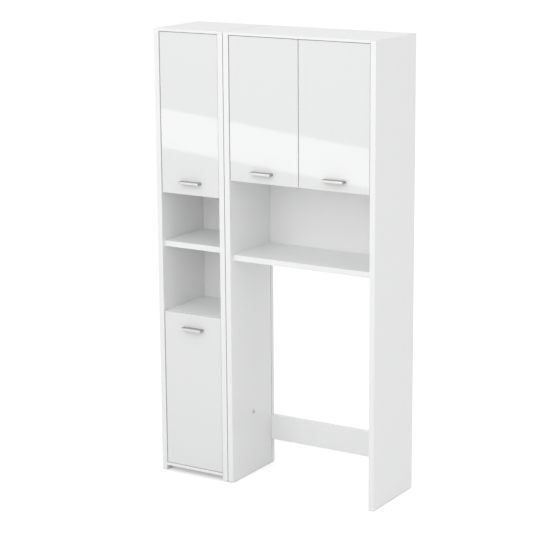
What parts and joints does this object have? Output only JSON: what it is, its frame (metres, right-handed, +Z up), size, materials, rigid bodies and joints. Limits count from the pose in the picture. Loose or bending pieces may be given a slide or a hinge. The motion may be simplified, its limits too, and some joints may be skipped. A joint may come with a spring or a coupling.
{
  "type": "bathroom cabinet",
  "caption": "Tall white bathroom cabinet: a narrow column beside a wide unit, with hinged gloss doors on cup hinges, ledge pulls, open niches and an open bay below.",
  "frame": {"origin": "on the floor, under the middle of the whole outline, handles included", "axes": "+Z up, the doors face -Y, +X runs to the right as seen from the front"},
  "size_m": [0.95, 0.327, 1.74],
  "materials": {
    "board": "chipboard faced and edged in satin white",
    "back": "thin hardboard faced in satin white",
    "gloss": "chipboard faced in high-gloss white",
    "handle": "satin brushed nickel",
    "steel": "bright nickel-plated",
    "plastic": "matt light grey"
  },
  "bodies": {
    "carcass": {"column_left_side": "board", "column_right_side": "board", "column_top": "board", "column_upper_shelf": "board", "column_upper_floor": "board", "column_niche_shelf": "board", "column_niche_floor": "board", "column_lower_shelf": "board", "column_bottom": "board", "column_back": "back", "wide_left_side": "board", "wide_right_side": "board", "wide_top": "board", "wide_inner_shelf": "board", "wide_cupboard_floor": "board", "wide_niche_floor": "board", "wide_rear_rail": "board", "wide_back": "back", "column_left_front_glide": "plastic", "column_left_rear_glide": "plastic", "column_right_front_glide": "plastic", "column_right_rear_glide": "plastic", "wide_left_front_glide": "plastic", "wide_left_rear_glide": "plastic", "wide_right_front_glide": "plastic", "wide_right_rear_glide": "plastic", "upper_connector": "steel", "lower_connector": "steel", "column_upper_door_lower_hinge_arm": "steel", "column_upper_door_upper_hinge_arm": "steel", "column_lower_door_lower_hinge_arm": "steel", "column_lower_door_upper_hinge_arm": "steel", "wide_left_door_lower_hinge_arm": "steel", "wide_left_door_upper_hinge_arm": "steel", "wide_right_door_lower_hinge_arm": "steel", "wide_right_door_upper_hinge_arm": "steel"},
    "column_upper_door_links": {"column_upper_door_lower_hinge_link": "steel", "column_upper_door_upper_hinge_link": "steel"},
    "column_upper_door": {"column_upper_door": "gloss", "column_upper_door_handle": "handle", "column_upper_door_lower_hinge_cup": "steel", "column_upper_door_upper_hinge_cup": "steel"},
    "column_lower_door_links": {"column_lower_door_lower_hinge_link": "steel", "column_lower_door_upper_hinge_link": "steel"},
    "column_lower_door": {"column_lower_door": "gloss", "column_lower_door_handle": "handle", "column_lower_door_lower_hinge_cup": "steel", "column_lower_door_upper_hinge_cup": "steel"},
    "wide_left_door_links": {"wide_left_door_lower_hinge_link": "steel", "wide_left_door_upper_hinge_link": "steel"},
    "wide_left_door": {"wide_left_door": "gloss", "wide_left_door_handle": "handle", "wide_left_door_lower_hinge_cup": "steel", "wide_left_door_upper_hinge_cup": "steel"},
    "wide_right_door_links": {"wide_right_door_lower_hinge_link": "steel", "wide_right_door_upper_hinge_link": "steel"},
    "wide_right_door": {"wide_right_door": "gloss", "wide_right_door_handle": "handle", "wide_right_door_lower_hinge_cup": "steel", "wide_right_door_upper_hinge_cup": "steel"}
  },
  "joints": [
    {"name": "column_upper_door_link_turn", "type": "hinge", "parent": "carcass", "child": "column_upper_door_links", "pos_m": [-0.2267, -0.1147, 1.422], "axis": [0, 0, -1], "range_deg": [0, 47.5]},
    {"name": "column_upper_door_swing", "type": "hinge", "parent": "column_upper_door_links", "child": "column_upper_door", "pos_m": [-0.2025, -0.1254, 1.422], "axis": [0, 0, 1], "range_deg": [0, 142.5]},
    {"name": "column_lower_door_link_turn", "type": "hinge", "parent": "carcass", "child": "column_lower_door_links", "pos_m": [-0.2267, -0.1147, 0.3415], "axis": [0, 0, -1], "range_deg": [0, 47.5]},
    {"name": "column_lower_door_swing", "type": "hinge", "parent": "column_lower_door_links", "child": "column_lower_door", "pos_m": [-0.2025, -0.1254, 0.3415], "axis": [0, 0, 1], "range_deg": [0, 142.5]},
    {"name": "wide_left_door_link_turn", "type": "hinge", "parent": "carcass", "child": "wide_left_door_links", "pos_m": [-0.1063, -0.1147, 1.45825], "axis": [0, 0, 1], "range_deg": [0, 47.5]},
    {"name": "wide_left_door_swing", "type": "hinge", "parent": "wide_left_door_links", "child": "wide_left_door", "pos_m": [-0.1305, -0.1254, 1.45825], "axis": [0, 0, -1], "range_deg": [0, 142.5]},
    {"name": "wide_right_door_link_turn", "type": "hinge", "parent": "carcass", "child": "wide_right_door_links", "pos_m": [0.4163, -0.1147, 1.45825], "axis": [0, 0, -1], "range_deg": [0, 47.5]},
    {"name": "wide_right_door_swing", "type": "hinge", "parent": "wide_right_door_links", "child": "wide_right_door", "pos_m": [0.4405, -0.1254, 1.45825], "axis": [0, 0, 1], "range_deg": [0, 142.5]}
  ],
  "couplings": [
    {"joint": "column_upper_door_link_turn", "follows": "column_upper_door_swing", "ratio": 0.33333},
    {"joint": "column_lower_door_link_turn", "follows": "column_lower_door_swing", "ratio": 0.33333},
    {"joint": "wide_left_door_link_turn", "follows": "wide_left_door_swing", "ratio": 0.33333},
    {"joint": "wide_right_door_link_turn", "follows": "wide_right_door_swing", "ratio": 0.33333}
  ]
}
